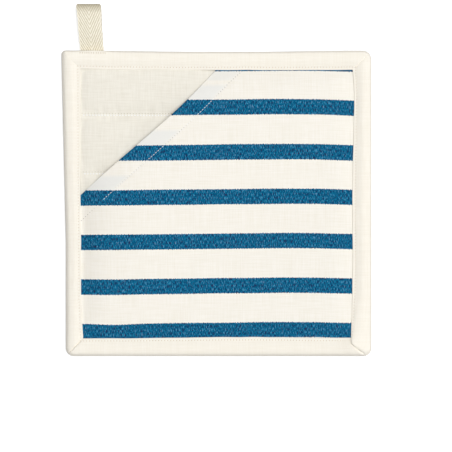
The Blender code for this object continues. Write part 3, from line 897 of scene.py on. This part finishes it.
# Rows are stations round the pad, columns the profile's points
def bindingGrid():
    profile = bindingProfile()
    flatInsets, heights = profile.T
    middle = (bindingValues["bottom"] + bindingValues["top"]) / 2
    face = np.where(heights > middle, 1, -1)
    acrossStrip = np.concatenate([[0], np.cumsum(np.hypot(*np.diff(profile, axis=0).T))])
    acrossStrip -= acrossStrip[-1] / 2
    onFace = share(np.abs(heights - middle) - 1.5, 1.1) * share(12.3 - flatInsets, 0.3)
    onFace = onFace * (np.abs(heights - middle) > bindingValues["lipTop"] - middle - 0.2)
    part = np.linspace(0, 1, bindingValues["stationsPerSide"])
    part = 0.5 - 0.5 * np.cos(math.pi * part) * (0.72 + 0.28 * np.abs(np.cos(math.pi * part)))
    arc = np.arange(bindingValues["arcSteps"]) / bindingValues["arcSteps"]
    rings, places = [], []
    for quarter in range(4):
        halves = (padValues["width"] / 2, padValues["height"] / 2)
        # the tape behind it presses the edge's fold flatter here
        behindLoop = loopValues["fromSide"] - padValues["width"] / 2
        along, across = halves if quarter % 2 == 0 else halves[::-1]
        depths = bindingValues["foldDepths"]
        reach = 2 * (along - bindingValues["stitchInset"])
        pitches = round(reach / bindingValues["stitchPitch"]) * bindingValues["stitchPitch"] / reach
        stations = [(turn, None) for turn in arc] + [(None, t) for t in part]
        for turn, t in stations:
            turned = 1 if t is not None else turn
            depth = depths[quarter - 1] * (1 - turned) + depths[quarter] * turned
            if quarter == 0 and t is not None:
                fromLoop = along * (1 - 2 * t) - behindLoop
                pressing = bell(fromLoop, bindingValues["loopPressReach"])
                depth = depth * (1 - bindingValues["loopPress"] * pressing)
            insets = folded(flatInsets, depth)
            radius = np.maximum(padValues["cornerRadii"][quarter] - insets, 0)
            x, y = along - insets - radius, across - insets - radius
            if t is None:
                # the bottom right corner's mitre also slides along the arc, to the bottom edge
                late = bindingValues["arcSlide"] * (1 - share(insets, 1.5))
                slid = np.where(quarter == 3, late, 0)
                bent, straight = turn ** (1 + slid) * math.pi / 2, turn * math.pi / 2
                onArc = x + radius * np.cos(bent), y + radius * np.sin(bent)
                x, y = x + radius * math.cos(straight), y + radius * math.sin(straight)
            else:
                nextRadius = np.maximum(padValues["cornerRadii"][(quarter + 1) % 4] - insets, 0)
                x, y = x - (x + along - insets - nextRadius) * t, across - insets
                onArc = x, y
            pastThis = along - across - (x - y)
            shortOfNext = along - across + x + y
            fromMitre = np.minimum(np.abs(pastThis), np.abs(shortOfNext)) / math.sqrt(2)
            firstHalf = t is None or t < 0.5
            corner = quarter if firstHalf else (quarter + 1) % 4
            crease = bindingValues["creases"][corner] * bell(fromMitre, bindingValues["creaseWidth"])
            lapped = pastThis > 0 if firstHalf else shortOfNext < 0
            lap = bindingValues["laps"][corner] * lapped * np.exp(-fromMitre / bindingValues["lapWidth"])
            lap = lap * share(fromMitre, bindingValues["creaseWidth"])
            fromStitches = insets - bindingValues["stitchInset"]
            valley = bindingValues["valley"] * bell(fromStitches, bindingValues["valleyWidth"])
            puffed = bell(insets - bindingValues["puffInset"], bindingValues["puffWidth"])
            puff = bindingValues["puff"] * puffed * (face > 0)
            way = quarter * 500 + x  # no two sides have the same waves
            uneven = bindingValues["uneven"] * ripple(way, insets * 3 * face, 15, 31)
            uneven = uneven + bindingValues["unevenFine"] * ripple(way, insets * face, 5, 32)
            lift = onFace * (puff + lap - crease - valley + uneven * (insets > 1))
            plan = worldPlan(quarter, *onArc, insets, face)
            rings.append(np.stack([*plan, heights + face * lift], axis=-1))
            fromCorner = (along - bindingValues["stitchInset"] - x) * pitches
            places.append(np.stack([fromCorner, acrossStrip, insets], axis=-1))
    rings.append(rings[0])
    places.append(places[0])
    return np.array(rings), np.array(places)


# Cotton canvas cut in a strip, pressed and folded: a little smoother than the pad, with painted shade in
# the needle holes along its stitching
def bindingMaterial():
    material, tree, shader, place = fabricMaterial("cottonCanvasFoldedStrip", 0.88, 0.1, 0.5)
    height = weaveNodes(tree, place, bindingValues["yarn"], 0.4)
    slubs, cloth = slubNodes(tree, place, 0.8, 16.0, bindingValues["creamDark"], bindingValues["cream"])
    cloth = fleckNodes(tree, place, cloth)
    parts = addNode(tree, "SeparateXYZ", {0: place})
    across = addNode(tree, "Math", {0: parts[2], 1: bindingValues["stitchInset"]}, operation="SUBTRACT")[0]
    holeShadeMask = holeShadeNodes(tree, parts[0], across, bindingValues["stitchPitch"], bindingValues["holeRadius"])
    finishWoven(tree, shader, cloth, holeShadeMask, bindingValues["holeShade"], slubs, 0.7, height, 0.1)
    return material


def bindingPiece():
    rings, places = bindingGrid()
    made = gridMesh([(rings, places)])
    sewTogether(made)
    piece = addPiece("edgeBinding", made, bindingMaterial())
    thicken(piece, bindingValues["ply"], False)
    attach(piece, "root")
    return piece


edgeBinding = bindingPiece()
standIn("edge_binding", "binding made")


# The tape's outer face along its length, as (distance out from the pad's edge, height)
def loopPath():
    radius = loopValues["thickness"] / 2
    fold = loopValues["reach"] - loopValues["foldLength"]
    step = loopValues["cell"]
    path = [(out, 0) for out in np.arange(-loopValues["tail"], fold, step)]
    for angle in np.linspace(-math.pi / 2, math.pi / 2, 22):
        out = fold + loopValues["foldLength"] * math.cos(angle)
        path.append((out, radius * (1 + math.sin(angle))))
    for out in np.arange(fold - step, -loopValues["tail"], -step):
        path.append((out, np.interp(out, loopValues["riseOuts"], loopValues["riseHeights"])))
    return np.array(path)


# Ecru cotton herringbone tape: steep ribs that meet in the middle, and a smooth selvedge. The gaps
# between its ribs get painted shade, and painted shade darkens the tape round its fold
def tapeMaterial(foldAt):
    material, tree, shader, place = fabricMaterial("cottonTapeHerringbone", 0.85, 0.12, 0.45)
    parts = addNode(tree, "SeparateXYZ", {0: place})
    aside = addNode(tree, "Math", {0: parts[0]}, operation="ABSOLUTE")[0]
    acrossTape, alongTape = loopValues["ribSlope"]
    leaned = addNode(tree, "Math", {0: aside, 1: acrossTape}, operation="MULTIPLY")[0]
    slope = {0: parts[1], 1: alongTape, 2: leaned}
    slant = addNode(tree, "Math", slope, operation="MULTIPLY_ADD")[0]
    drift = addNode(tree, "TexNoise", {"Vector": place, "Scale": 0.6, "Detail": 3.0})["Fac"]
    uneven = addNode(tree, "Math", {0: drift, 1: 0.8, 2: slant}, operation="MULTIPLY_ADD")[0]
    perRib = 2 * math.pi / loopValues["ribPitch"]
    turned = addNode(tree, "Math", {0: uneven, 1: perRib}, operation="MULTIPLY")[0]
    wave = addNode(tree, "Math", {0: turned}, operation="SINE")[0]
    rib = addNode(tree, "MapRange", {0: wave, 1: -1.0, 2: 0.5})[0]
    ribsEnd, reached = loopValues["selvedge"]
    selvedge = addNode(tree, "MapRange", {0: aside, 1: ribsEnd, 2: reached, 4: 0.55})[0]
    middle = addNode(tree, "MapRange", {0: aside, 1: 0.5, 2: 0.1, 4: 0.3})[0]
    smooth = addNode(tree, "Math", {0: selvedge, 1: middle}, operation="MAXIMUM")[0]
    height = addNode(tree, "Mix", {0: smooth, 2: rib, 3: 0.9}, data_type="FLOAT")[0]
    slubs, cloth = slubNodes(tree, place, 0.7, 5.0, loopValues["ecruDark"], loopValues["ecru"])
    fromFold = addNode(tree, "Math", {0: parts[1], 1: foldAt}, operation="SUBTRACT")[0]
    away = addNode(tree, "Math", {0: fromFold}, operation="ABSOLUTE")[0]
    clearOfFoldShade = addNode(tree, "MapRange", {0: away, 1: 0.0, 2: loopValues["foldShadeReach"]})[0]
    shades = {0: height, 6: linear(loopValues["gapShade"]), 7: cloth}
    ribbed = addNode(tree, "Mix", shades, data_type="RGBA")[2]
    shades = {0: clearOfFoldShade, 6: linear(loopValues["foldShade"]), 7: ribbed}
    colour = addNode(tree, "Mix", shades, data_type="RGBA")[2]
    raised = addNode(tree, "Math", {0: slubs, 1: 0.5, 2: height}, operation="MULTIPLY_ADD")[0]
    finishFabric(tree, shader, colour, raised, 0.2)
    return material


def loopPiece():
    path = loopPath()
    lengths = np.concatenate([[0], np.cumsum(np.hypot(*np.diff(path, axis=0).T))])
    half = loopValues["width"] / 2
    across = np.linspace(-half, half, int(loopValues["width"] / loopValues["cell"]) + 1)
    u, v = np.meshgrid(across, lengths)
    out, height = path[:, 0][:, None], path[:, 1][:, None]
    loose = share(out - 1, 8)
    wavy = loose * share(np.abs(u), half) * loopValues["edgeWave"]
    widened = u + wavy * ripple(v, np.sign(u) * 20, 6, 41)
    # the folded tape's corners are worn round
    atFold = share(out - loopValues["reach"] + loopValues["wornCorner"], loopValues["wornCorner"])
    widened = widened * (1 - (1 - np.sqrt(1 - atFold ** 2)) * loopValues["wornCorner"] / half)
    middle = loopValues["thickness"] / 2
    facing = np.clip((height - middle) / middle, -1, 1)
    wave = loopValues["faceWave"] * ripple(u, v, 22, 42)
    bent = height + loose * (wave - loopValues["curl"] * (u / half) ** 2 * facing)
    angle = math.radians(loopValues["tilt"])
    baseX, baseY = pulled(loopValues["fromSide"] - padValues["width"] / 2, padValues["height"] / 2)
    # the tape leans to the left, yet its fold lies level
    spread = 1 + loopValues["spread"] * bell(out - loopValues["reach"], loopValues["spreadReach"])
    x = baseX + widened * spread - out * math.sin(angle)
    y = np.broadcast_to(baseY + out * math.cos(angle), u.shape)
    points = np.stack([x, y, np.maximum(bent, 0)], axis=-1)
    places = np.stack([u, v, np.zeros_like(u)], axis=-1)
    made = gridMesh([(points, places)])
    bmesh.ops.reverse_faces(made, faces=list(made.faces))
    foldAt = lengths[np.argmax(path[:, 0])]
    piece = addPiece("hangingLoop", made, tapeMaterial(foldAt))
    thicken(piece, loopValues["ply"], False)
    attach(piece, "root")
    return piece


hangingLoop = loopPiece()
standIn("hanging_loop", "hanging loop made")


threadValues = {
    "diameter": 0.32,
    "topstitchShare": 0.86,  # of the pitch that a stitch covers
    "quiltShare": 0.62,
    "hemShare": 0.74,
    "hemStart": 6,  # mm from the mouth's lower end to its first stitch
    "hemStop": 2,
    "tackShare": 1.0,
    "arch": 0.14,
    "dip": 0.22,
    "quiltDiameter": 1.0,  # a thick soft thread, drawn a little coarser than a real one
    "flatness": 0.55,  # height of a stitch's section by its width: pulled flat into the cloth
    "white": "#FFFFFF",
    "whiteDark": "#FCF9F1",
    "cream": "#FFFEFA",
    "creamDark": "#F7F1E5",
    # darker than the thread's own colour, as painted shade of the needle holes beside the tack stitches
    "tackPaintedShade": "#CDBB9F",
    "tackPaintedShadeDark": "#A9967A",
    "tackPitch": 1.5,
    "tackLength": 1.2,
    "tackInset": 1.9,
    "tackHalfWidth": 8.5,
    "tackAside": 1.2,  # mm from the tape's middle to that of its stitches
    "tackUneven": 0.2,
    "twist": 0.55,  # mm for one turn of the plies
}


# Two-ply cotton sewing thread, spun tight: faintly lustrous, with its twist as small slanting ribs and
# painted shade in the grooves between them
def threadMaterial(name, light, dark):
    material, tree, shader, place = fabricMaterial(name, 0.7, 0.1, 0.4)
    parts = addNode(tree, "SeparateXYZ", {0: place})
    spiral = {0: parts[0], 1: 2 * math.pi / threadValues["twist"], 2: parts[1]}
    turned = addNode(tree, "Math", spiral, operation="MULTIPLY_ADD")[0]
    wave = addNode(tree, "Math", {0: turned}, operation="SINE")[0]
    tone = addNode(tree, "MapRange", {0: wave, 1: -1.0, 2: 0.2})[0]
    tones = {0: tone, 6: linear(dark), 7: linear(light)}
    colour = addNode(tree, "Mix", tones, data_type="RGBA")[2]
    finishFabric(tree, shader, colour, wave, 0.05)
    return material


# Short arched stitches between these start and end points (count, 3), pressed into cloth whose face
# points along up
def stitchPiece(name, starts, ends, up, diameter, material):
    sides = 6
    steps = np.array((0, 0.14, 0.5, 0.86, 1))
    lifts = np.array((-1, 0.3, 1, 0.3, -1))
    radii = np.array((0.35, 0.85, 1, 0.85, 0.35)) * diameter / 2
    length = ends - starts
    aside = np.cross(length, up)
    aside /= np.linalg.norm(aside, axis=1)[:, None]
    spans = np.linalg.norm(length, axis=1)
    verts, places = [], []
    for step, lift, radius in zip(steps, lifts, radii):
        raised = threadValues["arch"] * lift if lift > 0 else threadValues["dip"] * lift
        centre = starts + length * step + up * raised
        for side in range(sides):
            angle = 2 * math.pi * side / sides
            high = up * threadValues["flatness"] * math.sin(angle)
            verts.append(centre + (aside * math.cos(angle) + high) * radius)
            turn = np.full_like(spans, angle)
            places.append(np.stack([spans * step, turn, turn * 0], axis=-1))
    verts = np.stack(verts, axis=1)
    places = np.stack(places, axis=1)
    count, perStitch = verts.shape[:2]
    faces = []
    for ring in range(len(steps) - 1):
        for side in range(sides):
            following = (side + 1) % sides
            low, high = ring * sides, (ring + 1) * sides
            faces.append((low + side, low + following, high + following, high + side))
    caps = [tuple(range(sides))[::-1], tuple(range(perStitch - sides, perStitch))]
    allFaces = [
        tuple(at * perStitch + corner for corner in face)
        for at in range(count) for face in faces + caps
    ]
    mesh = bpy.data.meshes.new(name)
    mesh.from_pydata((verts.reshape(-1, 3) * mm).tolist(), [], allFaces)
    kept = mesh.attributes.new("clothPlace", "FLOAT_VECTOR", "POINT")
    kept.data.foreach_set("vector", places.reshape(-1))
    mesh.materials.append(material)
    mesh.shade_smooth()
    piece = bpy.data.objects.new(name, mesh)
    bpy.context.scene.collection.objects.link(piece)
    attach(piece, "root")
    return piece


# Heights of this piece's face at points, seen from above or below
def onSurface(piece, points, fromAbove):
    depsgraph = bpy.context.evaluated_depsgraph_get()
    shaped = piece.evaluated_get(depsgraph)
    heights = []
    for x, y in points:
        start = (x * mm, y * mm, 0.1 if fromAbove else -0.1)
        hit, where, normal, face = shaped.ray_cast(start, (0, 0, -1 if fromAbove else 1))
        heights.append(where[2] / mm if hit else math.nan)
    return np.array(heights)


# Stitches of one kind of thread, from each point of the rows to the next, lying on the piece. Each
# stitch covers this share of the way
def sewnRows(name, rows, piece, fromAbove, stitchShare, diameter, material):
    starts, ends = [], []
    bpy.context.view_layer.update()
    for row in rows:
        gap = (1 - stitchShare) / 2
        first = row[:-1] + (row[1:] - row[:-1]) * gap
        last = row[1:] - (row[1:] - row[:-1]) * gap
        middle = onSurface(piece, (first + last) / 2, fromAbove)
        middle += 0.05 if fromAbove else -0.05
        for a, b, height in zip(first, last, middle):
            if not math.isnan(height):
                starts.append((*a, height))
                ends.append((*b, height))
    up = np.array((0, 0, 1.0 if fromAbove else -1.0))
    return stitchPiece(name, np.array(starts), np.array(ends), up, diameter, material)


def bindingRows():
    inset = bindingValues["stitchInset"]
    rows = []
    for quarter in range(4):
        half = (padValues["width"], padValues["height"])[quarter % 2] / 2 - inset
        count = round(2 * half / bindingValues["stitchPitch"])
        along = np.linspace(half, -half, count + 1)
        rows.append(np.stack(bindingPlan(quarter, along, inset, 1), axis=-1))
    return rows


def quiltingRows():
    pitch = panelValues["stitchPitch"]
    half = int(padValues["seamX"] / pitch)
    along = np.arange(-half, half + 1) * pitch
    lift = panelValues["stitchLift"]
    return [np.stack(pulled(along, along * 0 + y + lift), axis=-1) for y in padValues["quiltRows"]]


def hemRows():
    inset = mouthInward * pocketValues["hemRow"]
    pitch = pocketValues["stitchPitch"]
    # in step with the material's needle holes, which are counted along the mouth's direction
    ahead = -np.dot(mouthStart, mouthAlong) % pitch
    at = np.arange(ahead + threadValues["hemStart"], mouthLength - threadValues["hemStop"], pitch)
    line = mouthStart + inset + mouthAlong * at[:, None]
    return [np.stack(pulled(*sagged(line[:, 0], line[:, 1])), axis=-1)]


# The upright stitches that hold the loop, close to the pad's edge
def tackRows():
    dice = np.random.default_rng(8)
    middle = loopValues["fromSide"] - padValues["width"] / 2 + threadValues["tackAside"]
    half, aside = threadValues["tackHalfWidth"], threadValues["tackUneven"]
    up = threadValues["tackLength"] / 2
    rows = []
    for x in np.arange(middle - half, middle + half + 0.1, threadValues["tackPitch"]):
        y = padValues["height"] / 2 - threadValues["tackInset"]
        x, y = pulled(x + dice.uniform(-aside, aside), y)
        rows.append(np.array(((x, y - up), (x + dice.uniform(-aside, aside), y + up))))
    return rows


cream = threadMaterial("cottonThreadTwisted", threadValues["cream"], threadValues["creamDark"])
white = threadMaterial("cottonWhiteThreadTwisted", threadValues["white"], threadValues["whiteDark"])
# the tack thread is real; its darker colour is painted shade of its needle holes
ecru = threadMaterial("cottonTackThreadPaintedShade", threadValues["tackPaintedShade"], threadValues["tackPaintedShadeDark"])
fine, thick = threadValues["diameter"], threadValues["quiltDiameter"]
for name, rows, piece, fromAbove, covers, diameter, material in (
    ("bindingThreadFront", bindingRows(), edgeBinding, True, "topstitchShare", fine, cream),
    ("bindingThreadBack", bindingRows(), edgeBinding, False, "topstitchShare", fine, cream),
    ("quiltThreadFront", quiltingRows(), frontPanel, True, "quiltShare", thick, white),
    ("quiltThreadBack", quiltingRows(), backPanel, False, "quiltShare", thick, white),
    ("hemThread", hemRows(), pocketPanel, True, "hemShare", fine, white),
    ("hemThreadInside", hemRows(), pocketPanel, False, "hemShare", fine, white),
    ("tackThread", tackRows(), edgeBinding, True, "tackShare", fine, ecru),
    ("tackThreadBack", tackRows(), hangingLoop, False, "tackShare", fine, ecru),
):
    sewnRows(name, rows, piece, fromAbove, threadValues[covers], diameter, material)
print("threads made")

stageValues = {
    "floor": "#FFFFFF",
    "floorHalf": 3,  # metres
    "floorDrop": 0.2,  # mm below the pad
    "glow": 0.25,
    "bounce": 0.45,
    "worldStrengths": (0.02, 0.64),  # to the left and to the right
    "keyPlace": (600, 250, 5130),  # mm
    "keySize": 3600,
    "keyPower": 246.0,
}

cameraValues = {"lens": 120, "centre": (5.06, -15.18), "height": 1040.0}


# Painted board: white to the eye, a paler grey to the light that it throws back
def floorMaterial():
    material = bpy.data.materials.new("paintedBoardMatt")
    material.use_nodes = True
    tree = material.node_tree
    tree.nodes.clear()
    sight = addNode(tree, "LightPath", {})["Is Camera Ray"]
    grey = stageValues["bounce"]
    plain = addNode(tree, "BsdfDiffuse", {"Color": (grey, grey, grey, 1)})[0]
    seen = addNode(tree, "BsdfDiffuse", {"Color": linear(stageValues["floor"])})[0]
    glow = addNode(tree, "Emission", {"Color": (1, 1, 1, 1), "Strength": stageValues["glow"]})[0]
    bright = addNode(tree, "AddShader", {0: seen, 1: glow})[0]
    mixed = addNode(tree, "MixShader", {0: sight, 1: plain, 2: bright})[0]
    addNode(tree, "OutputMaterial", {"Surface": mixed})
    return material


def addFloor():
    made = bmesh.new()
    bmesh.ops.create_grid(made, x_segments=2, y_segments=2, size=stageValues["floorHalf"])
    floor = addPiece("floor", made, floorMaterial())
    floor.location.z = -stageValues["floorDrop"] * mm


def addLight():
    world = bpy.data.worlds.new("studio")
    world.use_nodes = True
    background = world.node_tree.nodes["Background"]
    background.inputs["Color"].default_value = (1, 1, 1, 1)
    # the room is darker to the left of the pot holder, so the edges that face it have soft shade
    tree = world.node_tree
    way = addNode(tree, "TexCoord", {})["Generated"]
    sideways = addNode(tree, "SeparateXYZ", {0: way})[0]
    low, high = stageValues["worldStrengths"]
    strength = addNode(tree, "MapRange", {0: sideways, 1: -1.0, 2: 1.0, 3: low, 4: high})[0]
    tree.links.new(strength, background.inputs["Strength"])
    bpy.context.scene.world = world
    lamp = bpy.data.lights.new("key", "AREA")
    lamp.size = stageValues["keySize"] * mm
    lamp.energy = stageValues["keyPower"]
    key = bpy.data.objects.new("key", lamp)
    key.location = [value * mm for value in stageValues["keyPlace"]]
    key.rotation_euler = (-key.location).to_track_quat("-Z", "Y").to_euler()
    bpy.context.scene.collection.objects.link(key)


def addCamera():
    lens = bpy.data.cameras.new("camera")
    lens.lens = cameraValues["lens"]
    camera = bpy.data.objects.new("camera", lens)
    camera.location = (*(value * mm for value in cameraValues["centre"]), cameraValues["height"] * mm)
    bpy.context.scene.collection.objects.link(camera)
    bpy.context.scene.camera = camera


addFloor()
addLight()
addCamera()
bpy.context.scene.view_settings.view_transform = "Standard"
print("stage made")
